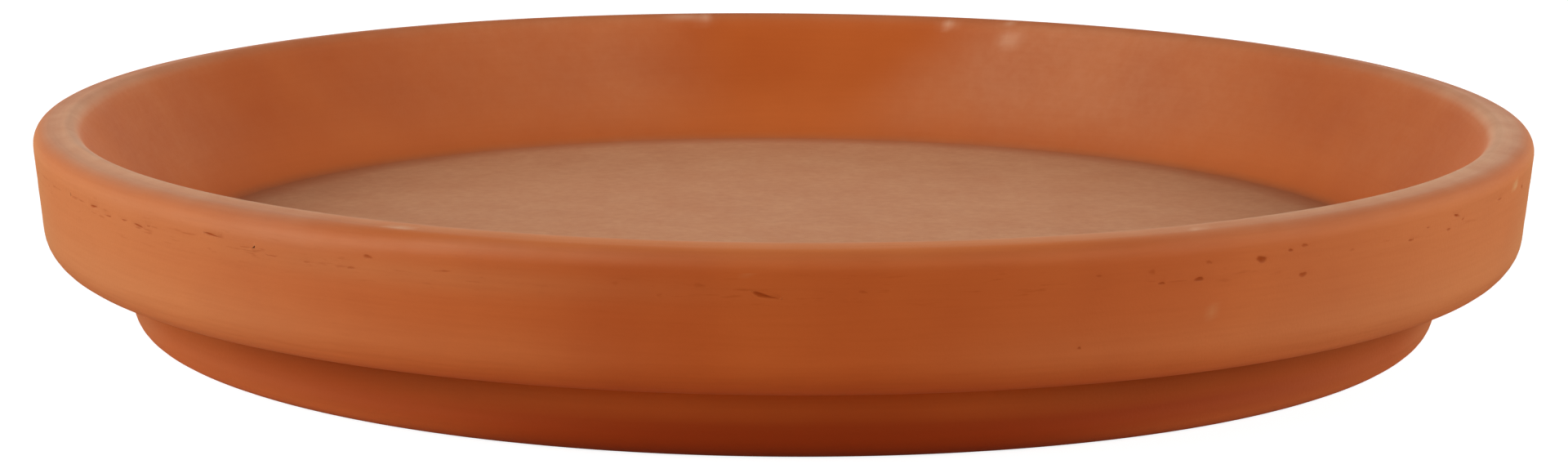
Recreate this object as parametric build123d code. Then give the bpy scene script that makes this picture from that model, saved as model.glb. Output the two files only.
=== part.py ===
from build123d import *

import os
from math import radians, tan

# A terracotta plant saucer: one body of fired clay, turned about the Z axis and standing on Z = 0.
# A plain foot carries a wider, slightly flared collar with a rounded lip. Inside, a sloping wall
# runs down to a flat floor, and the underside is hollowed so that only a ring touches the surface
# below. Lengths are in millimetres, angles in degrees.

# Collar and lip
rim_diameter = 260.0  # across the collar's face, carried up to the top of the lip
collar_height = 23.0  # from the collar's lower edge to the top of the lip
collar_draft_angle = 5.8  # the face leans out towards the lip
collar_edge_round = 6.2  # round of the collar's lower edge
lip_width = 7.3  # across the top of the lip, before it is rounded
lip_outer_round_share = 0.44  # outer round, as a share of the lip's width
lip_inner_round_share = 0.5  # inner round, as a share of the lip's width

# Step under the collar, and the foot
step_width = 13.4  # how far the collar stands out past the foot
step_draft_angle = 4.3  # the step rises towards the outside
foot_height = 13.0  # from the surface below to the collar's lower edge
foot_draft_angle = 5.5  # the foot narrows towards the ground
foot_edge_round = 4.7  # round of the foot's outer edge

# Floor, inner wall and hollowed underside
floor_thickness = 9.7  # clay between the floor and the hollow below it
wall_thickness = 6.3  # across the wall at the neck, its thinnest place
recess_depth = 3.0  # depth of the hollow in the underside
recess_draft_angle = 30.0  # slope of the hollow's edge
foot_ring_width = 15.0  # from the foot's outer edge to the edge of the hollow

# Levels and radii that follow from the sizes above
rim_level = foot_height + collar_height
rim_radius = rim_diameter / 2
lip_inner_radius = rim_radius - lip_width
collar_radius = rim_radius - collar_height * tan(radians(collar_draft_angle))
neck_radius = collar_radius - step_width
neck_level = foot_height - step_width * tan(radians(step_draft_angle))
foot_radius = neck_radius - neck_level * tan(radians(foot_draft_angle))
ring_radius = foot_radius - foot_ring_width
recess_radius = ring_radius - recess_depth * tan(radians(recess_draft_angle))
floor_level = recess_depth + floor_thickness
floor_radius = neck_radius - wall_thickness


def section_corners():
    """Corners of the half section as (radius, level, round), out along the underside and back inside."""
    return [
        (0, recess_depth, 0),
        (recess_radius, recess_depth, 0),
        (ring_radius, 0, 0),
        (foot_radius, 0, foot_edge_round),
        (neck_radius, neck_level, 0),
        (collar_radius, foot_height, collar_edge_round),
        (rim_radius, rim_level, lip_outer_round_share * lip_width),
        (lip_inner_radius, rim_level, lip_inner_round_share * lip_width),
        (floor_radius, floor_level, 0),
        (0, floor_level, 0),
    ]


def half_section():
    """The clay on one side of the axis: straight runs, with the lip and the outer edges rounded."""
    corners = section_corners()
    points = [(radius, 0, level) for radius, level, _ in corners]
    rounds = [corner_round for _, _, corner_round in corners]
    return make_face(FilletPolyline(*points, radius=rounds, close=True))


def saucer_body():
    """The saucer in one piece: its half section turned once round the axis."""
    return revolve(half_section(), Axis.Z)


def main():
    os.makedirs("parts", exist_ok=True)
    export_step(saucer_body(), "parts/saucer.step")


main()
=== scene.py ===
import math

import bpy
import numpy as np
from bpy.props import FloatProperty, FloatVectorProperty, IntProperty, PointerProperty
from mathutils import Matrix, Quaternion, Vector


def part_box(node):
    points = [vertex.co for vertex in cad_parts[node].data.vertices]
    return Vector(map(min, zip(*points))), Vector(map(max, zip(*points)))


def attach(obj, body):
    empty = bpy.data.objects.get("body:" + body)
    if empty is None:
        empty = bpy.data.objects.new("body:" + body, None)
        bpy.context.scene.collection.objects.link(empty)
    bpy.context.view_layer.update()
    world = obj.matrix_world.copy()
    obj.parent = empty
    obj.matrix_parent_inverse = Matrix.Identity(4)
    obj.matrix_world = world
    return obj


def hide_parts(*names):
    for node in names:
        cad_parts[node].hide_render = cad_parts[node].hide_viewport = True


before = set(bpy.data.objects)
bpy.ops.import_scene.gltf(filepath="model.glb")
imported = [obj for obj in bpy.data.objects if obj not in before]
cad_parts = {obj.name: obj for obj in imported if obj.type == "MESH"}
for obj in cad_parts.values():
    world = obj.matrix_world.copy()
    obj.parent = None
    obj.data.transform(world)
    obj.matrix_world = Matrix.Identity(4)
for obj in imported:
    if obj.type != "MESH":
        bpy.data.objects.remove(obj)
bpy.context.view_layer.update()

bl_info = {
    "name": "Terracotta plant saucer",
    "version": (1, 0, 0),
    "blender": (4, 5, 0),
    "location": "3D View > Sidebar > Saucer",
    "description": "An unglazed clay saucer with a turned profile, pits and lime marks, on a white stage",
    "category": "Add Mesh",
}

CAD_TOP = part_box("saucer")[1][2]
MM = 0.001
FULL_TURN = 2 * math.pi

# Pieces of the half section from the foot's ring on, numbered along its path, where runs and arcs alternate
RING, FOOT_EDGE, FOOT, NECK, STEP, COLLAR_EDGE, COLLAR = range(4, 11)
LIP_OUTER, LIP_TOP, LIP_INNER, WALL, COVE, FLOOR = range(11, 17)

RIDGE_SPACING = 5.5 * MM
FINE_RIDGE_SPACING = 3.1 * MM
# Rows of the grid: spacings on the runs, a close row at both ends of each run, and steps on each arc
COARSE, MIDDLING, FINE = 6 * MM, 1.4 * MM, 0.85 * MM
ROW_SPACINGS = (COARSE, MIDDLING, 2 * MIDDLING, MIDDLING, MIDDLING, FINE, MIDDLING, 1.5 * FINE, COARSE)
ROW_GUARD = 0.2 * MM
ARC_STEPS = 9

# Marks up to this length fit on one column of the grid, and longer ones take three
SMALL_MARK = 1.05 * MM
FULL_SHADE_DEPTH = 0.11 * MM
FACE_MARGIN = 0.1 * MM
SCATTER_SEED, SMALL_SEED, LONG_SEED = 7, 11, 12

SWEEP_HALF = 6.0
# What the camera sees of the paper: a grey that takes the shadow, and a glow that lifts it to white
PAPER_GREY = "#a0a0a0"
PAPER_GLOW = 0.88
LAMP_DISTANCE = 1.2
LAMP_TARGET = (0, 0, 0.02)
# Each softbox: degrees round from the front, degrees up, width and depth in metres, and its power's setting
SOFTBOXES = {
    "softbox_left": (-60, 17, 0.9, 0.7, "left_power"),
    "softbox_right": (62, 17, 0.9, 0.7, "right_power"),
    "softbox_left_rim": (-108, 25, 0.8, 0.7, "left_rim_power"),
    "softbox_right_rim": (118, 25, 0.8, 0.7, "right_rim_power"),
    "softbox_back": (180, 14, 0.9, 0.5, "back_power"),
}
CAMERA_TARGET = (0.16 * MM, 0, 13.4 * MM)
SENSOR_WIDTH = 36.0


def linear(hex_colour):
    """Linear colour with full alpha from an sRGB hex value."""
    shares = [int(hex_colour[i:i + 2], 16) / 255 for i in (1, 3, 5)]
    return tuple(c / 12.92 if c <= 0.04045 else ((c + 0.055) / 1.055) ** 2.4 for c in shares) + (1.0,)


def length(name, description, millimetres):
    """A length that the user can change, given in millimetres."""
    return FloatProperty(
        name=name, description=description, default=millimetres * MM, unit="LENGTH", precision=5
    )


def angle(name, description, degrees):
    """An angle that the user can change, given in degrees."""
    return FloatProperty(name=name, description=description, default=math.radians(degrees), unit="ROTATION")


def colour(name, description, hex_colour):
    """A colour that the user can change, given as an sRGB hex value."""
    return FloatVectorProperty(
        name=name, description=description, default=linear(hex_colour), size=4, subtype="COLOR", min=0, max=1
    )


def number(name, description, default, unit="NONE"):
    """A plain number that the user can change, with a unit where it has one."""
    return FloatProperty(name=name, description=description, default=default, unit=unit)


class SaucerShape(bpy.types.PropertyGroup):
    """Sizes of the turned section and of what firing and handling did to it."""

    rim_diameter: length("Rim diameter", "Across the collar's face, carried up to the top of the lip", 260)
    height: number("Height", "From the table to the top of the lip", CAD_TOP, "LENGTH")
    collar_height: length("Collar height", "From the collar's lower edge to the top of the lip", 23)
    collar_draft: angle("Collar draft", "How far the collar leans out towards the lip", 5.8)
    collar_edge_round: length("Collar edge round", "Round of the collar's lower edge", 6.2)
    lip_width: length("Lip width", "Across the top of the lip, before it is rounded", 7.3)
    lip_outer_round: length("Lip outer round", "Round of the lip's outer edge", 3.212)
    lip_inner_round: length("Lip inner round", "Round of the lip's inner edge", 3.65)
    step_width: length("Step width", "How far the collar stands out past the foot", 13.4)
    step_draft: angle("Step draft", "How far the step rises towards the outside", 4.3)
    neck_round: length("Neck round", "Hollow round where the foot meets the step", 3)
    foot_draft: angle("Foot draft", "How far the foot narrows towards the table", 5.5)
    foot_edge_round: length("Foot edge round", "Round of the foot's outer edge", 4.7)
    foot_ring_width: length("Foot ring width", "From the foot's outer edge to the hollow underneath", 15)
    foot_ring_round: length("Foot ring round", "Round of the ring's inner edge", 1)
    recess_depth: length("Recess depth", "Depth of the hollow in the underside", 3)
    recess_draft: angle("Recess draft", "Slope of the hollow's edge", 30)
    recess_round: length("Recess round", "Hollow round in the recess's corner", 2.5)
    floor_level: length("Floor level", "Height of the floor inside", 12.7)
    wall_thickness: length("Wall thickness", "Across the wall at the neck", 6.3)
    cove_round: length("Cove round", "Hollow round between the floor and the wall", 2.4)
    rim_warp: length("Rim warp", "How far the rim dips from level after firing", 0.3)
    foot_shift: length("Foot shift", "How far the foot sits off the collar's axis", 0.2)
    lip_fall: length("Lip fall", "How far the top of the lip falls from its inner crest to the outside", 0.4)
    ridge_height: length("Ridge height", "Height of the broad turning ridges", 0.04)
    columns: IntProperty(name="Columns", description="Grid columns round the axis", default=480, min=48)


class TerracottaFinish(bpy.types.PropertyGroup):
    """Colours of the fired clay, of the films and marks on it, and of the painted light, shade and sheen."""

    clay: colour("Clay", "The clay's main colour", "#b45822")
    clay_red: colour("Red clay", "Where the clay fired redder", "#a94c1a")
    # Partly a redder firing, partly painted shade: the foot darkened as if in the collar's shadow
    foot_clay_and_shade: colour("Foot clay", "The foot, which fired reddest in the shade of the collar", "#92370e")
    # Painted light: the lip's front, a glow low on the back wall, and the lower edges lit
    clay_painted_light: colour("Bright clay", "Clay rubbed clean on the lip, the edges and the wall", "#ee8a48")
    # Painted sheen on the collar's and the foot's sides, and the colour of real fresh chips
    pale_clay_and_sheen: colour("Pale clay", "Fresh or dusty clay on the collar's sides and in chips", "#c4a072")
    # Partly dust, partly painted sheen and highlight: the floor and the lip's crest paled as a low view pales
    # them
    silt: colour("Silt", "Grey-tan dust on the floor, the lip and the wall", "#dda379")
    # Painted shade: darkens the floor's edge, the underside, the foot and the crook under the step
    grime: colour("Grime", "Brown dirt at the floor's edge, on the foot and in the crook", "#64260a")
    pit: colour("Pit", "The shaded inside of pits and drag marks", "#8f3d0d")
    # Partly lime bloom, partly painted highlight and painted light on the lip
    lime: colour("Lime", "Lime that bloomed out of the clay", "#ecc09c")
    sheen: number("Dust sheen", "How strongly the dry surface pales at a low angle", 0.03)


class StudioStage(bpy.types.PropertyGroup):
    """The white sweep, its lamps and the camera."""

    paper: colour("Paper", "The sweep's warm tone where it lights the saucer from below", "#dcac86")
    left_power: number("Left power", "Power of the softbox at the front left", 12.7, "POWER")
    right_power: number("Right power", "Power of the softbox at the front right", 10.9, "POWER")
    left_rim_power: number("Left rim power", "Power of the softbox at the back left", 3.1, "POWER")
    right_rim_power: number("Right rim power", "Power of the softbox at the back right", 3.0, "POWER")
    back_power: number("Back power", "Power of the low softbox at the back", 3.6, "POWER")
    ambient: number("Ambient", "Strength of the light that the white room returns", 0.03)
    camera_distance: length("Camera distance", "From the camera to the point that it looks at", 744.6)
    camera_elevation: angle("Camera elevation", "How far the camera looks down", 10.80)
    camera_roll: angle("Camera roll", "How far the camera is turned about its own line of sight", 0.356)
    camera_lens: number("Lens", "Focal length in millimetres on a 36 mm wide frame", 97.06, "CAMERA")


# Marks on the front of the collar: degrees round from the front, height above the table, then length,
# width and depth, all in millimetres, the tilt in degrees and how much the mark thins out to one end.
FRONT_MARKS = (
    (-62.2, 30.4, 4.6, 0.34, 0.04, 3, 0.3),
    (-58.2, 30.3, 2.4, 0.56, 0.16, 4, 0.3),
    (-55.7, 29.6, 1.7, 0.30, 0.09, 5, 0.2),
    (-53.3, 29.8, 1.6, 0.30, 0.09, 5, 0.2),
    (-51.2, 29.6, 3.0, 0.52, 0.15, -4, 0.75),
    (-50.2, 30.0, 1.0, 0.26, 0.06, 8, 0.2),
    (-42.0, 31.0, 4.9, 0.52, 0.16, -3, 0.85),
    (-39.0, 29.9, 3.0, 0.30, 0.03, 3, 0.4),
    (-36.6, 29.4, 1.6, 0.34, 0.04, 0, 0.2),
    (-33.6, 29.2, 1.2, 0.40, 0.04, 0, 0.2),
    (-29.9, 29.2, 1.4, 0.50, 0.05, 0, 0.1),
    (-28.5, 31.4, 1.4, 0.66, 0.08, -6, 0.1),
    (-10.9, 29.9, 1.2, 0.50, 0.02, 0, 0.0),
    (-8.1, 28.4, 0.9, 0.60, 0.02, 0, 0.0),
    (-5.4, 29.9, 1.5, 0.80, 0.03, 0, 0.0),
    (-1.0, 28.25, 4.6, 0.95, 0.18, -9, 0.75),
    (5.2, 29.5, 1.5, 0.50, 0.04, -4, 0.3),
    (20.0, 19.5, 0.7, 0.45, 0.08, 0, 0.0),
    (21.1, 30.5, 1.1, 0.36, 0.05, 0, 0.2),
    (25.0, 30.4, 1.3, 0.80, 0.04, 0, 0.0),
    (25.5, 28.6, 0.9, 0.50, 0.09, 0, 0.1),
    (28.7, 28.5, 1.5, 0.75, 0.12, 0, 0.0),
    (29.4, 31.0, 1.2, 0.60, 0.05, 0, 0.0),
    (33.8, 30.2, 1.9, 1.20, 0.15, 0, 0.1),
    (36.2, 31.4, 0.9, 0.55, 0.09, 0, 0.0),
    (37.6, 32.6, 1.5, 0.60, 0.07, -12, 0.2),
    (37.7, 27.2, 1.5, 0.90, 0.09, 0, 0.0),
    (42.6, 29.8, 1.0, 0.60, 0.03, 0, 0.1),
    (48.9, 29.2, 1.0, 0.46, 0.08, 0, 0.0),
    (51.2, 30.6, 0.7, 0.34, 0.06, 0, 0.0),
    (54.5, 29.0, 1.0, 0.50, 0.08, 0, 0.1),
    (55.4, 31.2, 1.6, 0.55, 0.11, -14, 0.2),
    (56.4, 30.2, 1.0, 0.44, 0.07, 10, 0.2),
    (63.8, 30.9, 1.6, 0.36, 0.08, 0, 0.2),
    (70.6, 30.2, 1.0, 0.70, 0.15, 0, 0.0),
)
# Lime on the lip: degrees round from the front, distance in from the collar's face along the skin,
# length round the rim and width, in millimetres, and how thick it lies.
LIP_LIME = (
    (-170.6, 9.0, 8.8, 2.0, 0.7),
    (-172.3, 9.2, 3.0, 2.6, 0.9),
    (164.2, 10.0, 2.6, 2.4, 0.8),
    (158.4, 9.0, 2.0, 1.6, 0.6),
    (157.9, 13.0, 4.4, 3.4, 0.7),
    (-26.9, 5.4, 5.5, 1.3, 1.4),
    (29.4, 5.6, 4.6, 1.3, 1.0),
)
# Chips and scratches that bare fresh clay on the collar, given in the same way.
FRESH_CLAY = (
    (-2.3, -0.5, 1.2, 0.6, 0.35),
    (68.1, -0.7, 4.4, 1.7, 0.9),
    (-47.0, -1.8, 1.2, 0.6, 0.5),
    (30.1, -9.2, 1.0, 3.6, 0.35),
    (30.5, -8.0, 1.6, 0.7, 0.3),
)


def smooth_step(value, low, high):
    """Zero below low, one above high, with an S-shaped rise between."""
    share = np.clip((value - low) / (high - low), 0, 1)
    return share * share * (3 - 2 * share)


def bell(value, middle, width):
    """One at the middle, falling off to both sides as a bell curve."""
    return np.exp(-(((value - middle) / width) ** 2))


def turn_from(turn, degrees):
    """The angle from a place on the rim, by the shorter way round."""
    return np.angle(np.exp(1j * (turn - math.radians(degrees))))


class Section:
    """A half section as a path of straight runs and arcs, measured by the distance along it.

    Each piece of the path has a start, a heading and a curvature. A point at a distance d into a piece
    lies at the end of a chord of length d * sin(x) / x, with x half the angle turned, along the heading
    at the chord's middle: that holds for arcs, and with no curvature for straight runs.
    """

    def __init__(self, corners):
        points = np.array([corner[:2] for corner in corners])
        rounds = np.array([corner[2] for corner in corners])
        runs = np.diff(points, axis=0)
        headings = np.unwrap(np.arctan2(runs[:, 1], runs[:, 0]))
        turns = np.concatenate(([0], np.diff(headings), [0]))
        trims = rounds * np.tan(np.abs(turns) / 2)
        run_lengths = np.hypot(*runs.T) - trims[:-1] - trims[1:]
        arc_lengths = rounds * np.abs(turns)
        self.lengths = np.empty(2 * len(runs) - 1)
        self.lengths[0::2] = run_lengths
        self.lengths[1::2] = arc_lengths[1:-1]
        self.heading = np.repeat(headings, 2)[:-1]
        self.curvature = np.zeros_like(self.lengths)
        self.curvature[1::2] = turns[1:-1] / np.maximum(arc_lengths[1:-1], MM * MM)
        self.begin = np.concatenate(([0], np.cumsum(self.lengths)[:-1]))
        self.total = self.lengths.sum()
        chord, middle = self._chord(np.arange(len(self.lengths)), self.lengths)
        moves = np.stack((chord * np.cos(middle), chord * np.sin(middle)), -1)
        self.start = np.concatenate((points[:1], points[0] + np.cumsum(moves, axis=0)[:-1]))

    def _chord(self, piece, into):
        """Length and heading of the chord from a piece's start to a point in it."""
        half_turn = self.curvature[piece] * into / 2
        return into * np.sinc(half_turn / math.pi), self.heading[piece] + half_turn

    def at(self, distance):
        """Radius, level and heading at distances along the path."""
        piece = np.clip(np.searchsorted(self.begin, distance, side="right") - 1, 0, len(self.begin) - 1)
        into = distance - self.begin[piece]
        chord, middle = self._chord(piece, into)
        radius = self.start[piece, 0] + chord * np.cos(middle)
        level = self.start[piece, 1] + chord * np.sin(middle)
        return radius, level, self.heading[piece] + self.curvature[piece] * into

    def along(self, piece, share=0):
        """Distance along the path of a place in a piece, by its share of the piece's length."""
        return self.begin[piece] + share * self.lengths[piece]

    def rows(self, spacings, guard, arc_steps):
        """Distances of the grid's rows: even steps on each piece, and a close row at both ends of a run."""
        rows = [np.zeros(1)]
        for index, (begin, piece_length) in enumerate(zip(self.begin, self.lengths)):
            if index % 2:
                rows.append(begin + np.linspace(0, piece_length, arc_steps + 1)[1:])
            else:
                steps = max(1, math.ceil((piece_length - 2 * guard) / spacings[index // 2]))
                rows.append(begin + np.linspace(guard, piece_length - guard, steps + 1))
                rows.append(np.array([begin + piece_length]))
        return np.concatenate(rows)


def saucer_section(shape):
    """The saucer's half section: out along the underside, up the outside and back down the inside."""
    rim_radius = shape.rim_diameter / 2
    collar_level = shape.height - shape.collar_height
    collar_radius = rim_radius - shape.collar_height * math.tan(shape.collar_draft)
    neck_radius = collar_radius - shape.step_width
    neck_level = collar_level - shape.step_width * math.tan(shape.step_draft)
    foot_radius = neck_radius - neck_level * math.tan(shape.foot_draft)
    ring_radius = foot_radius - shape.foot_ring_width
    recess_radius = ring_radius - shape.recess_depth * math.tan(shape.recess_draft)
    return Section(
        (
            (0, shape.recess_depth, 0),
            (recess_radius, shape.recess_depth, shape.recess_round),
            (ring_radius, 0, shape.foot_ring_round),
            (foot_radius, 0, shape.foot_edge_round),
            (neck_radius, neck_level, shape.neck_round),
            (collar_radius, collar_level, shape.collar_edge_round),
            (rim_radius, shape.height, shape.lip_outer_round),
            (rim_radius - shape.lip_width, shape.height, shape.lip_inner_round),
            (neck_radius - shape.wall_thickness, shape.floor_level, shape.cove_round),
            (0, shape.floor_level, 0),
        )
    )


def clay_surface(shape, section, turn, distance, sink):
    """Points of the saucer by angle, distance along the section and depth below the skin.

    The section gives a radius and a level, carried round the axis with the angle counted from the front.
    Broad turning ridges, sines of the distance whose phase drifts with the angle, take a little off
    the skin, and a smooth hump of the distance takes some off the outer half of the lip. The rim dips
    by a bell curve of the angle, deepest near the back, that fades out towards the foot, and the foot
    slides sideways by a part of a millimetre.
    """
    radius, level, heading = section.at(distance)
    ridge_phase = FULL_TURN * distance / RIDGE_SPACING + 0.9 * np.sin(turn + 0.6)
    fine_phase = FULL_TURN * distance / FINE_RIDGE_SPACING + 0.7 * np.sin(2 * turn + 2.1)
    ridges = 0.5 + 0.3 * np.sin(ridge_phase) + 0.2 * np.sin(fine_phase)
    fall = smooth_step(distance, section.along(LIP_OUTER), section.along(LIP_TOP))
    fall = fall * (1 - smooth_step(distance, section.along(LIP_TOP), section.along(LIP_INNER, 0.3)))
    off = sink + shape.ridge_height * ridges + shape.lip_fall * fall
    radius = radius - off * np.sin(heading) * smooth_step(radius, 0, 5 * MM)
    level = level + off * np.cos(heading)
    rise = smooth_step(level, 0.3 * shape.height, shape.height)
    dip = 0.15 + 0.85 * bell(turn_from(turn, 175), 0, 0.5)
    level = level - shape.rim_warp * rise * dip
    shift = shape.foot_shift * (1 - smooth_step(level, 0.3 * shape.height, 0.4 * shape.height))
    shift = shift * smooth_step(radius, 0.3 * shape.rim_diameter, 0.4 * shape.rim_diameter)
    return np.stack((radius * np.sin(turn) + shift, -radius * np.cos(turn), level), -1)


def block_loop(wide, tall):
    """Corners of the cells round a block of grid cells, counter-clockwise, as column and row offsets."""
    bottom = [(column, 0) for column in range(wide)]
    right = [(wide, row) for row in range(tall)]
    top = [(wide - column, tall) for column in range(wide)]
    left = [(0, tall - row) for row in range(tall)]
    return np.array(bottom + right + top + left)


class Craters:
    """Pits and drag marks sunk into blocks of the grid, all with the same number of cells.

    A crater is a set of rings round its middle. A ring's outline is an ellipse with a few soft lobes
    that narrows to one end, and the rings run from a guard on the skin, over the edge and down the
    wall to the bottom. The outermost ring is joined to the corners of the cells that it replaces.
    """

    RING_SCALES = np.array([1.22, 1.0, 0.74, 0.4])
    RING_DEPTHS = np.array([0.0, 0.12, 0.8, 1.0])
    RING_SHADES = np.array([0.05, 0.3, 0.72, 0.82])
    BOTTOM_DEPTH = 1.05
    PER_EDGE = 2

    def __init__(self, marks, wide, tall, seed):
        self.turn, self.distance, self.long, self.across, self.depth, self.tilt, self.thin = marks.T
        self.wide = wide
        self.tall = tall
        self.loop = block_loop(wide, tall)
        self.seed = seed

    def outline(self):
        """Offsets of the rings along and across the turning direction: marks by rings by points.

        The ellipse is scaled by one plus two cosines of the angle round it, with random phases, and its
        width falls to one end by half a cosine. Each ring is the outline times the ring's scale, moved
        towards the thick end, and the whole is turned by the tilt.
        """
        rng = np.random.default_rng(self.seed)
        count = len(self.turn)
        place = 2 * self.loop / np.array([self.wide, self.tall]) - 1
        corner_turn = np.unwrap(np.arctan2(place[:, 1], place[:, 0]))
        around = np.append(corner_turn, corner_turn[0] + FULL_TURN)
        steps = np.arange(len(self.loop) * self.PER_EDGE) / self.PER_EDGE
        phi = np.interp(steps, np.arange(len(around)), around)
        lobes = 1 + 0.16 * np.cos(2 * phi + rng.uniform(0, FULL_TURN, (count, 1)))
        lobes = lobes + 0.10 * np.cos(3 * phi + rng.uniform(0, FULL_TURN, (count, 1)))
        along = self.long[:, None] / 2 * np.cos(phi) * lobes
        narrow = 1 - self.thin[:, None] * (0.5 + 0.5 * np.cos(phi))
        cross = self.across[:, None] / 2 * np.sin(phi) * lobes * narrow
        scale = self.RING_SCALES[None, :, None]
        head = -0.25 * (self.thin * self.long)[:, None, None] * (1 - np.minimum(scale, 1))
        along = along[:, None] * scale + head
        cross = cross[:, None] * scale
        cos = np.cos(self.tilt)[:, None, None]
        sin = np.sin(self.tilt)[:, None, None]
        return along * cos - cross * sin, along * sin + cross * cos

    def seat(self, distance, first_row, last_row, columns, radius):
        """First column and row of each crater's block, and its rings' angles and distances.

        A crater's middle moves, and a long crater shrinks, as far as it takes to stay in its block.
        """
        cell_turn = FULL_TURN / columns
        left = np.round(self.turn / cell_turn - self.wide / 2).astype(int)
        below = np.searchsorted(distance, self.distance) - self.tall // 2
        below = np.clip(below, first_row, last_row - self.tall)
        along, across = self.outline()
        turn_margin = 0.05 * cell_turn
        row_margin = 0.05 * MM
        room = (self.wide / 2 * cell_turn - turn_margin) * radius
        along = along * np.minimum(1, room / np.abs(along).max(axis=(1, 2)))[:, None, None]
        reach = np.abs(along).max(axis=(1, 2)) / radius + turn_margin
        spread = np.abs(across).max(axis=(1, 2)) + row_margin
        block_turn = left * cell_turn
        middle_turn = np.clip(self.turn, block_turn + reach, block_turn + self.wide * cell_turn - reach)
        middle = np.clip(self.distance, distance[below] + spread, distance[below + self.tall] - spread)
        return left, below, middle_turn[:, None, None] + along / radius, middle[:, None, None] + across

    def faces(self, corner, ring, bottom):
        """Quads and triangles, from the indices of the blocks' corners, the rings and the bottoms.

        Three triangles join each edge of a block to two steps of the outermost ring, quads join one
        ring to the next, and a fan of triangles closes the innermost ring.
        """
        next_corner = np.roll(corner, -1, axis=1)
        first = ring[:, 0, 0::2]
        second = ring[:, 0, 1::2]
        third = np.roll(first, -1, axis=1)
        outer = ring[:, :-1]
        inner = ring[:, 1:]
        last = ring[:, -1]
        hub = np.broadcast_to(bottom[:, None], last.shape)
        triangles = (
            (corner, second, first),
            (corner, next_corner, second),
            (next_corner, third, second),
            (last, np.roll(last, -1, 1), hub),
        )
        quads = np.stack((outer, np.roll(outer, -1, 2), np.roll(inner, -1, 2), inner), -1)
        return quads.reshape(-1, 4), np.concatenate([np.stack(part, -1).reshape(-1, 3) for part in triangles])


def scattered_pits(rng, slots, low, high):
    """Small pits from one side of the collar round the back to the other.

    Each slot of the turn has at most one, at a random place, height and size.
    """
    turns = np.radians(np.linspace(76, 284, slots, endpoint=False))
    turns = turns + rng.uniform(0, math.radians(1.2), slots)
    keep = rng.random(slots) < 0.75
    size = rng.gamma(4.0, 0.18, slots)
    long = np.clip(size, 0.45, 1.0) * MM
    across = long * rng.uniform(0.45, 0.8, slots)
    height = rng.triangular(low, high - 2 * MM, high, slots)
    tilt = rng.normal(0, 0.15, slots)
    pits = np.stack((turns, height, long, across, 0.2 * across, tilt, rng.uniform(0, 0.4, slots)), -1)
    return pits[keep]


def collar_craters(shape, section):
    """The collar's marks as craters: small ones on one column of cells, and long ones on three."""
    units = np.array([math.radians(1), MM, MM, MM, MM, math.radians(1), 1])
    front = np.array(FRONT_MARKS) * units
    scattered = scattered_pits(np.random.default_rng(SCATTER_SEED), slots=60, low=20 * MM, high=32 * MM)
    marks = np.concatenate((front, scattered))
    face_low = section.at(section.along(COLLAR))[1]
    marks[:, 1] = section.along(COLLAR) + (marks[:, 1] - face_low) / math.cos(shape.collar_draft)
    small = marks[:, 2] <= SMALL_MARK
    return Craters(marks[small], 1, 2, SMALL_SEED), Craters(marks[~small], 3, 2, LONG_SEED)


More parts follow.
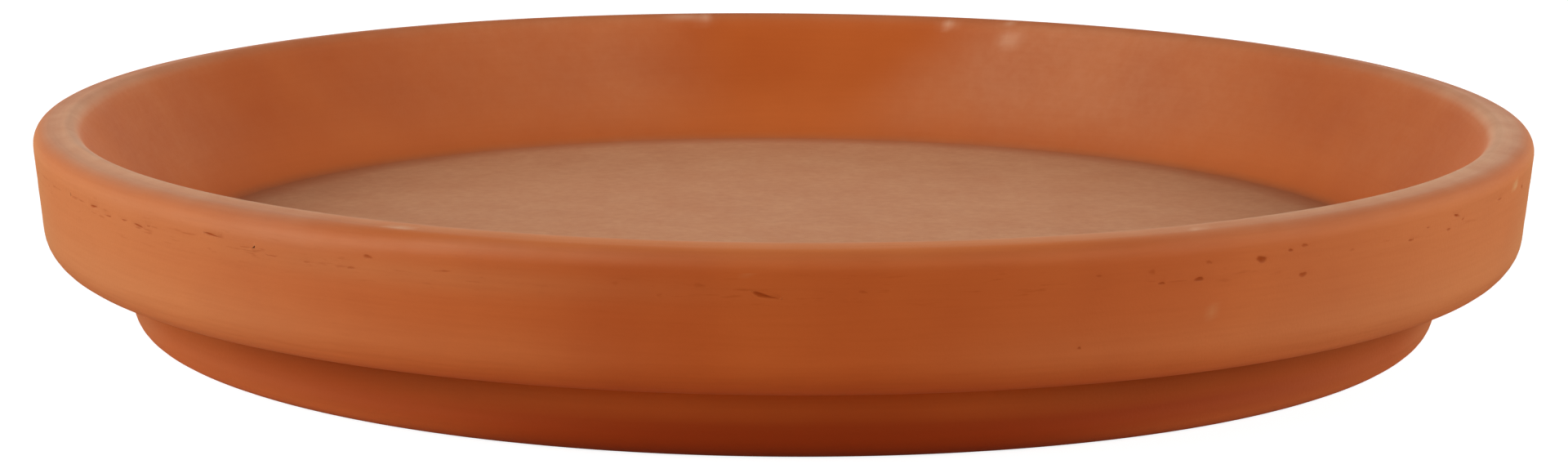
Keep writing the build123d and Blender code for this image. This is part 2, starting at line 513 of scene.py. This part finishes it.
def saucer_mesh(shape, section):
    """Points and faces of the whole saucer, with each point's angle, distance and pit shade.

    The skin is a grid of angle by distance along the section, closed by a pole on the axis at each
    end. Blocks of cells on the collar give way to craters, whose rings lie on the same surface.
    """
    distance = section.rows(ROW_SPACINGS, ROW_GUARD, ARC_STEPS)[1:-1]
    rows = len(distance)
    columns = shape.columns
    index = np.arange(rows * columns).reshape(rows, columns)
    poles = index.size + np.arange(2)
    turns = [np.tile(np.arange(columns) * FULL_TURN / columns, rows), np.zeros(2)]
    distances = [np.repeat(distance, columns), np.array([0, section.total])]
    sinks = [np.zeros(index.size + 2)]
    shades = [np.zeros(index.size + 2)]
    quads = []
    triangles = []

    keep = np.ones((rows, columns), dtype=bool)
    keep[-1] = False
    dropped = columns
    offset = index.size + 2
    above_edge = distance > section.along(COLLAR) + FACE_MARGIN
    below_lip = distance < section.along(LIP_OUTER) - FACE_MARGIN
    first_row, last_row = np.flatnonzero(above_edge & below_lip)[[0, -1]]
    for craters in collar_craters(shape, section):
        left, below, ring_turn, ring_distance = craters.seat(
            distance, first_row, last_row, columns, shape.rim_diameter / 2
        )
        ring = offset + np.arange(ring_turn.size).reshape(ring_turn.shape)
        bottom = offset + ring_turn.size + np.arange(len(left))
        offset = bottom[-1] + 1
        shade = np.clip(craters.depth / FULL_SHADE_DEPTH, 0.2, 1)
        ring_sink = craters.depth[:, None, None] * craters.RING_DEPTHS[:, None]
        ring_shade = shade[:, None, None] * craters.RING_SHADES[:, None]
        turns += [ring_turn.ravel(), ring_turn[:, -1].mean(axis=1)]
        distances += [ring_distance.ravel(), ring_distance[:, -1].mean(axis=1)]
        sinks += [np.broadcast_to(ring_sink, ring.shape).ravel(), craters.BOTTOM_DEPTH * craters.depth]
        shades += [np.broadcast_to(ring_shade, ring.shape).ravel(), shade]
        cell_rows = below[:, None, None] + np.arange(craters.tall)[:, None]
        cell_columns = (left[:, None, None] + np.arange(craters.wide)) % columns
        keep[cell_rows, cell_columns] = False
        dropped += len(left) * craters.tall * craters.wide
        loop_columns, loop_rows = craters.loop.T
        corner = index[below[:, None] + loop_rows, (left[:, None] + loop_columns) % columns]
        crater_quads, crater_triangles = craters.faces(corner, ring, bottom)
        quads.append(crater_quads)
        triangles.append(crater_triangles)
    if np.count_nonzero(~keep) != dropped:
        raise ValueError("Two marks on the collar lie in the same cells of the grid")

    right = np.roll(index, -1, 1)
    quads.append(np.stack((index, right, np.roll(right, -1, 0), np.roll(index, -1, 0)), -1)[keep])
    triangles.append(np.stack((right[0], index[0], np.full(columns, poles[0])), -1))
    triangles.append(np.stack((index[-1], right[-1], np.full(columns, poles[1])), -1))
    quads = np.concatenate(quads)
    triangles = np.concatenate(triangles)
    used, packed = np.unique(np.concatenate((quads.ravel(), triangles.ravel())), return_inverse=True)
    faces = packed[:quads.size].reshape(-1, 4).tolist() + packed[quads.size:].reshape(-1, 3).tolist()
    turns, distances, sinks, shades = (
        np.concatenate(parts)[used] for parts in (turns, distances, sinks, shades)
    )
    return clay_surface(shape, section, turns, distances, sinks), faces, turns, distances, shades


class Skin:
    """Points of the skin, and the zones that films, painted light and painted shade are laid by.

    Zones run from 0 to 1. Each is a smooth step or a bell of the distance along the section, or of the
    angle round the axis, or a product of such steps.
    """

    def __init__(self, shape, section, turn, distance):
        along = section.along
        self.section = section
        self.rim_radius = shape.rim_diameter / 2
        self.turn = turn
        self.distance = distance
        self.height = section.at(distance)[1]

        # From -1 at the left to 1 at the right, and from -1 at the back to 1 at the front
        self.rightward = np.sin(turn)
        self.frontward = np.cos(turn)
        self.ends = self.out_to_ends(0.45, 0.95)
        self.near = smooth_step(self.frontward, -0.75, 0)
        self.front = 1 - self.round_past(5, 30)
        self.sides = self.round_past(10, 62)

        self.crook = self.past(along(FOOT, 0.05), along(FOOT, 0.85))
        self.crook = self.crook * (1 - self.past(along(STEP), along(COLLAR_EDGE)))
        below_lip = 1 - self.past(along(LIP_OUTER), along(LIP_TOP))
        self.foot = self.past(along(FOOT_EDGE), along(FOOT)) * (1 - self.past(along(STEP), along(COLLAR)))
        self.collar = self.past(along(STEP), along(COLLAR)) * below_lip
        self.face = self.past(along(COLLAR_EDGE), along(COLLAR)) * below_lip
        self.crest = bell(distance, along(LIP_INNER, 0.35), 2.4 * MM)
        self.floor = self.past(along(COVE) - 0.5 * MM, along(FLOOR) + 5 * MM)
        self.wall = self.past(along(LIP_INNER), along(WALL)) * (1 - self.floor)
        self.up_wall = np.clip((along(COVE) - distance) / section.lengths[WALL], 0, 1)

    def past(self, low, high):
        """Zero before one distance along the section, and one after another."""
        return smooth_step(self.distance, low, high)

    def round_past(self, low, high):
        """Zero within some degrees of the front, and one further round."""
        return smooth_step(np.abs(turn_from(self.turn, 0)), math.radians(low), math.radians(high))

    def round_at(self, degrees, width):
        """A bell of the angle from a place on the rim, with a width in radians."""
        return bell(turn_from(self.turn, degrees), 0, width)

    def out_to_ends(self, low, high):
        """One at the left and right ends, by shares of the way out to them."""
        return smooth_step(np.abs(self.rightward), low, high)

    def outside_painted_wedge(self):
        """One on the wall but in a wedge at the back where light is painted, whose edges part in straight
        lines upwards.
        """
        off_back = -np.degrees(turn_from(self.turn, 180))
        right_edge = 3.4 + 10.5 * self.up_wall
        left_edge = 1.4 + 2.7 * self.up_wall
        right = smooth_step(off_back, right_edge - 2, right_edge + 11)
        return np.maximum(right, smooth_step(-off_back, left_edge, left_edge + 16))

    def ovals(self, places):
        """Soft ovals by the lip, each a bell round the rim times one across it, the strongest on top."""
        mask = np.zeros_like(self.turn)
        for degrees, inward, long, wide, thick in places:
            round_rim = turn_from(self.turn, degrees) * self.rim_radius
            inside = self.distance - self.section.along(LIP_OUTER)
            oval = thick * bell(round_rim, 0, long / 2 * MM) * bell(inside, inward * MM, wide / 2 * MM)
            mask = np.maximum(mask, oval)
        return mask


def dust_and_sheen_film(skin):
    """Dried dust with painted sheen: thick on the floor, where it also paints the paling of a low view, a
    painted highlight along the lip's inner crest, and a thin haze on the wall that is partly dust and partly
    painted light.

    The haze is thinner to the left, away from the back, near the floor and in the painted wedge, and
    thicker to the right of the wedge and at both ends.
    """
    from_back = np.abs(turn_from(skin.turn, 180))
    haze = 0.2 - 0.11 * smooth_step(-skin.rightward, 0.2, 0.8)
    haze = haze + 0.12 * skin.round_at(152, math.radians(15))
    haze = haze * (1 - 0.45 * smooth_step(from_back, 0.6, 1.1))
    haze = haze + (0.1 - 0.06 * skin.rightward) * skin.out_to_ends(0.84, 1)
    haze = haze * skin.wall * smooth_step(skin.up_wall, -0.3, 0.5) * skin.outside_painted_wedge()
    return 0.66 * skin.floor + skin.crest * (0.1 + 0.15 * skin.near) + haze


def painted_shade_film(skin):
    """Painted shade along the floor's edge, on the underside, low on the foot and in the crook under the
    step.

    The floor's edge has more of it at both ends. At the front it lies on the foot, most of all low down,
    and lightly on the collar's face. The crook's painted shadow begins beside the front and thins at the left
    end.
    """
    along = skin.section.along
    floor_edge = bell(skin.distance, along(FLOOR) + 0.4 * MM, 3.4 * MM) * (0.1 + 0.38 * skin.ends)
    underside = 1 - skin.past(along(RING), along(FOOT_EDGE))
    low_foot = 1 - skin.past(along(FOOT_EDGE), along(FOOT) + 2.5 * MM)
    below_step = 1 - skin.past(along(NECK), along(STEP))
    front_shade = skin.front * (0.5 * low_foot + 0.3 * below_step + 0.2 * skin.face)
    crook_shadow = skin.crook * skin.round_past(8, 30) * (1.1 - skin.ends * (0.18 - 0.17 * skin.rightward))
    return floor_edge + 0.4 * underside + front_shade + crook_shadow


def foot_red_and_shade_zone(skin):
    """The redder, darker foot, partly a redder firing and partly painted shade: a step of the distance,
    strongest at the front right, weaker at the left and ends, where more light falls.
    """
    leftward = smooth_step(-skin.rightward, 0.1, 0.5)
    strength = 1 + 0.25 * skin.round_at(42, 0.3) - 0.45 * skin.ends - 0.25 * (1 - skin.ends) * leftward
    return strength * (1 - skin.past(skin.section.along(FOOT, 0.1), skin.section.along(FOOT, 0.8)))


def painted_light_film(skin):
    """Painted light in a vivid orange: on the lip at the front, a painted glow low on the back wall and in
    its wedge, and along the edges below.

    The edges are bells of the distance at the collar's lower edge and the foot's, both stronger beside
    the front, and at the neck.
    """
    along = skin.section.along
    lit_lip = skin.past(along(LIP_OUTER, 0.4), along(LIP_TOP))
    lit_lip = lit_lip * (1 - skin.past(along(LIP_INNER, 0.6), along(WALL))) * (1 - skin.round_past(12, 45))
    low_wall = 0.16 * (1 - smooth_step(skin.up_wall, 0.05, 0.6)) + 0.05 * (1 - skin.outside_painted_wedge())
    back_wall = skin.round_past(80, 140) * skin.wall * low_wall
    beside = skin.round_past(15, 40)
    collar_edge = bell(skin.distance, along(COLLAR_EDGE, 0.25), 3.2 * MM) * (0.16 + 0.22 * beside)
    foot_edge = bell(skin.distance, along(FOOT_EDGE, 0.5), 2 * MM) * 0.3 * beside
    neck = bell(skin.distance, along(NECK), 2.5 * MM)
    return 0.42 * lit_lip + back_wall + collar_edge + foot_edge + 0.1 * neck


def drag_zone(skin):
    """Where the tool left short drags: the collar's face, most just under the lip, fewer at the right."""
    band = 0.12 + bell(skin.height, 29.8 * MM, 1.9 * MM)
    return band * skin.face * (1 - 0.6 * smooth_step(skin.rightward, 0.35, 0.7))


def pale_sheen_and_chips(skin):
    """Painted sheen in a paler clay colour: the collar and the foot away from the front, a little on the
    face, and real fresh chips.

    The crook keeps its painted shadow but for the ends, and the collar and the foot grow paler once more
    close to the ends.
    """
    foot_out_of_shadow = 1 - skin.crook * (1 - 0.6 * skin.ends)
    pale = skin.sides * (skin.collar + 0.5 * skin.foot * foot_out_of_shadow) * (0.24 - 0.02 * skin.rightward)
    pale = pale + 0.18 * skin.collar * skin.out_to_ends(0.92, 1)
    pale = pale + 0.14 * skin.foot * skin.out_to_ends(0.87, 0.97)
    beside_front = 0.06 * skin.round_past(4, 20) * (0.6 + bell(skin.height, 18 * MM, 5 * MM))
    front_left = 0.12 * bell(skin.height, 29.5 * MM, 2.4 * MM) * skin.round_at(-25, 0.3)
    pale = pale + skin.face * (beside_front + front_left + 0.035 * skin.front)
    pale = pale + 0.04 * skin.front * bell(skin.distance, skin.section.along(LIP_OUTER, 0.7), 2 * MM)
    return np.maximum(pale, skin.ovals(FRESH_CLAY))


def lime_and_highlight_film(skin):
    """Lime bloom with painted highlight over the lip: thick at the ends, where it also paints light and the
    lip's paling at a low view, thinner in the front and thin at the back, with spots of real bloom.

    It begins on the lip's outer round, further out to the sides and in three tongues at the front, and
    stops at the wall. A faint streak lies under the lip at the front, a painted highlight line follows the
    lip's top behind the ends, and another follows its inner crest at the front.
    """
    along = skin.section.along
    tongues = 0.15 * skin.round_at(-45, 0.28) + 0.5 * skin.round_at(-33, 0.2) + 0.5 * skin.round_at(30, 0.25)
    begin = 0.9 - 0.4 * skin.sides - skin.ends * (0.145 - 0.02 * skin.rightward) - tongues
    cover = skin.past(along(LIP_OUTER, begin), along(LIP_OUTER, begin + 1 - 0.35 * skin.ends))
    cover = cover * (1 - skin.past(along(LIP_INNER, 0.5), along(WALL) + 0.5 * MM * skin.near))
    thick = 0.14 + 0.42 * skin.sides + skin.ends * (0.26 + 0.06 * skin.rightward)
    thick = thick + 0.1 * skin.round_at(-42, 0.35) + 0.18 * skin.round_at(28, 0.25)
    thick = thick * (0.12 + 0.88 * smooth_step(skin.frontward, -0.6, 0.1))

    streak_height = (32.8 + 1.6 * smooth_step(turn_from(skin.turn, -27), -0.16, 0.16)) * MM
    streak = bell(skin.height, streak_height, 1.3 * MM) * skin.near
    streak = streak * skin.past(along(COLLAR_EDGE), along(COLLAR))
    streak = streak * (1 - skin.past(along(LIP_TOP) - 0.5 * MM, along(LIP_TOP) + 0.5 * MM))
    streak = streak * (0.04 + 0.24 * skin.round_at(-31, 0.38) + 0.06 * skin.round_at(36, 0.4))

    top_line = skin.past(along(LIP_OUTER), along(LIP_TOP))
    top_line = top_line * (1 - skin.past(along(LIP_TOP), along(LIP_INNER, 0.6)))
    top_line = 0.4 * top_line * skin.ends * (1 - skin.near)
    crest_line = 0.24 * skin.crest * smooth_step(skin.frontward, -0.1, 0.4)
    return np.maximum(thick * cover + streak + top_line + crest_line, skin.ovals(LIP_LIME))


def ruled_zone(skin):
    """Where turning lines show: less on the floor and the wall, most in a band low on the collar's face."""
    return 1 - 0.75 * skin.floor - 0.5 * skin.wall + 0.9 * bell(skin.height, 15 * MM, 2 * MM) * skin.face


# Masks of the films, and of the painted light, shade, sheen and highlight laid over the clay
FILMS = {
    "silt": dust_and_sheen_film,
    "grime": painted_shade_film,
    "red": foot_red_and_shade_zone,
    "bright": painted_light_film,
    "drag": drag_zone,
    "pale": pale_sheen_and_chips,
    "lime": lime_and_highlight_film,
    "ruled": ruled_zone,
}


def add_mesh(name, vertices, faces):
    """A new object in the scene with a smooth-shaded mesh of these vertices and faces."""
    mesh = bpy.data.meshes.new(name)
    mesh.from_pydata(vertices, [], faces)
    mesh.polygons.foreach_set("use_smooth", np.ones(len(mesh.polygons), dtype=bool))
    mesh.update()
    piece = bpy.data.objects.new(name, mesh)
    bpy.context.scene.collection.objects.link(piece)
    return piece


def add_node(tree, kind, inputs=None, **settings):
    """Add one node: settings are its own properties, inputs are values or the sockets that feed it."""
    node = tree.nodes.new(kind)
    for name, value in settings.items():
        setattr(node, name, value)
    for key, value in (inputs or {}).items():
        if isinstance(value, bpy.types.NodeSocket):
            tree.links.new(value, node.inputs[key])
        else:
            node.inputs[key].default_value = value
    return node


def terracotta(finish):
    """Terracotta, pressed, turned and fired with no glaze.

    The eye sees a dry matt orange that drifts between redder and paler clay, under films of dust and bloomed
    salts, with painted light, shade, sheen and highlight mixed into the clay and the films, fine lines left
    by the turning, dark pits, and a dusty paling at a low angle.
    """
    material = bpy.data.materials.new("terracotta_unglazed")
    material.use_nodes = True
    tree = material.node_tree
    tree.nodes.clear()
    place = add_node(tree, "ShaderNodeTexCoord").outputs["Object"]
    turned = add_node(tree, "ShaderNodeAttribute", attribute_name="turned").outputs["Vector"]
    dashed = add_node(tree, "ShaderNodeMapping", {"Vector": turned, "Scale": (3.2, 3.2, 1)}).outputs[0]
    mask = {}
    for name in ("pit", *FILMS):
        mask[name] = add_node(tree, "ShaderNodeAttribute", attribute_name=name).outputs["Fac"]

    # The coordinates, size and detail of each noise. Real grain and turning lines are finer than a
    # pixel of the render, so both are drawn coarser than they are, to show.
    noises = {
        "cloud": (place, 30 * MM, 3.0),
        "patch": (place, 9 * MM, 4.0),
        "speckle": (place, 1.8 * MM, 2.0),
        "grain": (place, 0.5 * MM, 2.0),
        "lines": (turned, 0.7 * MM, 3.0),
        "dashes": (dashed, 0.6 * MM, 2.0),
    }
    noise = {}
    for name, (vector, size, detail) in noises.items():
        inputs = {"Vector": vector, "Scale": 1 / size, "Detail": detail}
        noise[name] = add_node(tree, "ShaderNodeTexNoise", inputs).outputs["Fac"]

    # The noise behind each effect, the values of it that are used, and the strengths they turn to
    effects = {
        "redder": ("cloud", 0.38, 0.66, 0, 0.7),
        # Patches in the dust and its painted sheen
        "dusty": ("patch", 0.3, 0.7, 0.88, 1.12),
        "speckled": ("speckle", 0.3, 0.7, 0.9, 1.1),
        "lime_and_highlight_patches": ("patch", 0.3, 0.7, 0.42, 0.62),
        "lined": ("lines", 0.42, 0.72, 0, 0.08),
        "dragged": ("dashes", 0.62, 0.8, 0, 0.6),
        "rough": ("grain", 0, 1, 0.58, 0.74),
    }
    effect = {}
    for name, (source, *limits) in effects.items():
        inputs = dict(zip(("From Min", "From Max", "To Min", "To Max"), limits), Value=noise[source])
        effect[name] = add_node(tree, "ShaderNodeMapRange", inputs).outputs[0]

    drags = add_node(tree, "ShaderNodeMath", {0: mask["drag"], 1: effect["dragged"]}, operation="MULTIPLY")
    hollows = add_node(tree, "ShaderNodeMath", {0: drags.outputs[0], 1: mask["pit"]}, operation="MAXIMUM")

    # From the clay up: the colour of each layer, and the values whose product is how much of it shows
    layers = (
        (finish.clay_red, effect["redder"]),
        # Foot clay with painted shade
        (finish.foot_clay_and_shade, mask["red"]),
        # Painted light
        (finish.clay_painted_light, mask["bright"]),
        # Painted sheen, and fresh chips
        (finish.pale_clay_and_sheen, mask["pale"]),
        # Dust with painted sheen and highlight
        (finish.silt, effect["dusty"], effect["speckled"], mask["silt"]),
        # Painted shade
        (finish.grime, mask["grime"], 0.4),
        # Lime bloom with painted highlight
        (finish.lime, mask["lime"], effect["lime_and_highlight_patches"]),
        (finish.pit, mask["ruled"], effect["lined"]),
        (finish.pit, hollows.outputs[0]),
    )
    tone = finish.clay
    for layer, amount, *shares in layers:
        for share in shares:
            amount = add_node(tree, "ShaderNodeMath", {0: amount, 1: share}, operation="MULTIPLY").outputs[0]
        tone = add_node(tree, "ShaderNodeMix", {0: amount, 6: tone, 7: layer}, data_type="RGBA").outputs[2]

    # The relief of the turning lines, and the grain's on top of it
    ridges = add_node(tree, "ShaderNodeMath", {0: noise["lines"], 1: mask["ruled"]}, operation="MULTIPLY")
    relief = {"Height": ridges.outputs[0], "Strength": 0.5, "Distance": 0.04 * MM}
    lined = add_node(tree, "ShaderNodeBump", relief)
    relief = {"Height": noise["grain"], "Strength": 0.5, "Distance": 0.05 * MM, "Normal": lined.outputs[0]}
    grained = add_node(tree, "ShaderNodeBump", relief)
    shader = add_node(
        tree,
        "ShaderNodeBsdfPrincipled",
        {
            "Base Color": tone,
            "Roughness": effect["rough"],
            "IOR": 1.5,
            "Specular IOR Level": 0.08,
            "Normal": grained.outputs[0],
            "Sheen Weight": finish.sheen,
            "Sheen Roughness": 0.5,
            "Sheen Tint": linear("#fff0d0"),
        },
    )
    add_node(tree, "ShaderNodeOutputMaterial", {"Surface": shader.outputs[0]})
    return material


def white_paper(warm_tone):
    """Sweep paper, coated matt: white to the camera with the saucer's soft shadow on it.

    To all other rays it is a warm tone, so that what it throws back on the foot is warm too.
    """
    material = bpy.data.materials.new("sweep_paper_white")
    material.use_nodes = True
    tree = material.node_tree
    tree.nodes.clear()
    seen = add_node(tree, "ShaderNodeLightPath").outputs["Is Camera Ray"]
    tone = add_node(tree, "ShaderNodeMix", {0: seen, 6: warm_tone, 7: linear(PAPER_GREY)}, data_type="RGBA")
    paper = add_node(tree, "ShaderNodeBsdfDiffuse", {"Color": tone.outputs[2]})
    strength = add_node(tree, "ShaderNodeMath", {0: seen, 1: PAPER_GLOW}, operation="MULTIPLY")
    glow = add_node(tree, "ShaderNodeEmission", {"Color": (1, 1, 1, 1), "Strength": strength.outputs[0]})
    both = add_node(tree, "ShaderNodeAddShader", {0: paper.outputs[0], 1: glow.outputs[0]})
    add_node(tree, "ShaderNodeOutputMaterial", {"Surface": both.outputs[0]})
    return material


def white_room(ambient):
    """The room: white to the camera and in gloss, and a soft even light on everything else."""
    world = bpy.data.worlds.new("white_room")
    world.use_nodes = True
    tree = world.node_tree
    tree.nodes.clear()
    rays = add_node(tree, "ShaderNodeLightPath").outputs
    either = {0: rays["Is Camera Ray"], 1: rays["Is Glossy Ray"]}
    seen = add_node(tree, "ShaderNodeMath", either, operation="MAXIMUM").outputs[0]
    strength = add_node(tree, "ShaderNodeMapRange", {"Value": seen, "To Min": ambient, "To Max": 1.0})
    light = add_node(tree, "ShaderNodeBackground", {"Color": (1, 1, 1, 1), "Strength": strength.outputs[0]})
    add_node(tree, "ShaderNodeOutputWorld", {"Surface": light.outputs[0]})
    bpy.context.scene.world = world


def aim(thing, place, target):
    """Put a lamp or a camera at a place, looking at a target."""
    thing.location = place
    thing.rotation_mode = "QUATERNION"
    thing.rotation_quaternion = (Vector(target) - Vector(place)).to_track_quat("-Z", "Y")
    bpy.context.scene.collection.objects.link(thing)


def add_softbox(name, degrees_round, degrees_up, width, depth, power):
    """A rectangular soft lamp that faces the saucer, placed by its angles round from the front and up."""
    turn = math.radians(degrees_round)
    up = math.radians(degrees_up)
    out = LAMP_DISTANCE * math.cos(up)
    height = LAMP_DISTANCE * math.sin(up) + LAMP_TARGET[2]
    lamp = bpy.data.lights.new(name, "AREA")
    lamp.shape = "RECTANGLE"
    lamp.size = width
    lamp.size_y = depth
    lamp.energy = power
    softbox = bpy.data.objects.new(name, lamp)
    aim(softbox, (out * math.sin(turn), -out * math.cos(turn), height), LAMP_TARGET)
    return softbox


class SAUCER_OT_add_body(bpy.types.Operator):
    """Add the saucer's clay body in place of its plain solid"""

    bl_idname = "saucer.add_body"
    bl_label = "Add saucer body"

    def execute(self, context):
        shape = context.scene.saucer_shape
        section = saucer_section(shape)
        points, faces, turn, distance, shade = saucer_mesh(shape, section)
        piece = add_mesh("saucer_body", points, faces)
        # Noise that reads this runs in long lines round the axis, as the turning tool left them
        stretch = 5 * MM
        turned = np.stack((stretch * np.cos(turn), stretch * np.sin(turn), distance), -1)
        mesh = piece.data
        mesh.attributes.new("turned", "FLOAT_VECTOR", "POINT").data.foreach_set("vector", turned.ravel())
        mesh.attributes.new("pit", "FLOAT", "POINT").data.foreach_set("value", shade)
        skin = Skin(shape, section, turn, distance)
        for name, film in FILMS.items():
            mesh.attributes.new(name, "FLOAT", "POINT").data.foreach_set("value", film(skin))
        mesh.materials.append(terracotta(context.scene.saucer_finish))
        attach(piece, "root")
        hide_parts("saucer")
        return {"FINISHED"}


class SAUCER_OT_add_stage(bpy.types.Operator):
    """Add the white sweep, the lamps and the camera"""

    bl_idname = "saucer.add_stage"
    bl_label = "Add stage"

    def execute(self, context):
        stage = context.scene.saucer_stage
        corners = [(x * SWEEP_HALF, y * SWEEP_HALF, 0) for x, y in ((-1, -1), (1, -1), (1, 1), (-1, 1))]
        floor = add_mesh("sweep", corners, [(0, 1, 2, 3)])
        floor.data.materials.append(white_paper(stage.paper))
        white_room(stage.ambient)
        for name, (*setup, power) in SOFTBOXES.items():
            softbox = add_softbox(name, *setup, getattr(stage, power))
            # The back one lights the saucer without a glare on the floor and the lip that face the camera
            softbox.visible_glossy = name != "softbox_back"
        camera = bpy.data.cameras.new("camera")
        camera.lens = stage.camera_lens
        camera.sensor_width = SENSOR_WIDTH
        viewer = bpy.data.objects.new("camera", camera)
        target = Vector(CAMERA_TARGET)
        rise = stage.camera_elevation
        back = Vector((0, -math.cos(rise), math.sin(rise))) * stage.camera_distance
        aim(viewer, target + back, target)
        viewer.rotation_quaternion = viewer.rotation_quaternion @ Quaternion((0, 0, 1), stage.camera_roll)
        context.scene.camera = viewer
        context.scene.view_settings.view_transform = "Standard"
        return {"FINISHED"}


class SAUCER_PT_panel(bpy.types.Panel):
    """Sidebar panel with the saucer's sizes, colours and operators"""

    bl_label = "Plant saucer"
    bl_space_type = "VIEW_3D"
    bl_region_type = "UI"
    bl_category = "Saucer"

    def draw(self, context):
        for group, operator in GROUPS:
            box = self.layout.box()
            settings = getattr(context.scene, group)
            for name in settings.__annotations__:
                box.prop(settings, name)
            if operator:
                box.operator(operator)


GROUPS = (("saucer_shape", None), ("saucer_finish", "saucer.add_body"), ("saucer_stage", "saucer.add_stage"))
CLASSES = (
    SaucerShape, TerracottaFinish, StudioStage, SAUCER_OT_add_body, SAUCER_OT_add_stage, SAUCER_PT_panel
)


def register():
    for item in CLASSES:
        bpy.utils.register_class(item)
    bpy.types.Scene.saucer_shape = PointerProperty(type=SaucerShape)
    bpy.types.Scene.saucer_finish = PointerProperty(type=TerracottaFinish)
    bpy.types.Scene.saucer_stage = PointerProperty(type=StudioStage)


def unregister():
    for group, _ in GROUPS:
        delattr(bpy.types.Scene, group)
    for item in reversed(CLASSES):
        bpy.utils.unregister_class(item)


def main():
    register()
    bpy.ops.saucer.add_body()
    bpy.ops.saucer.add_stage()


if __name__ == "__main__":
    main()
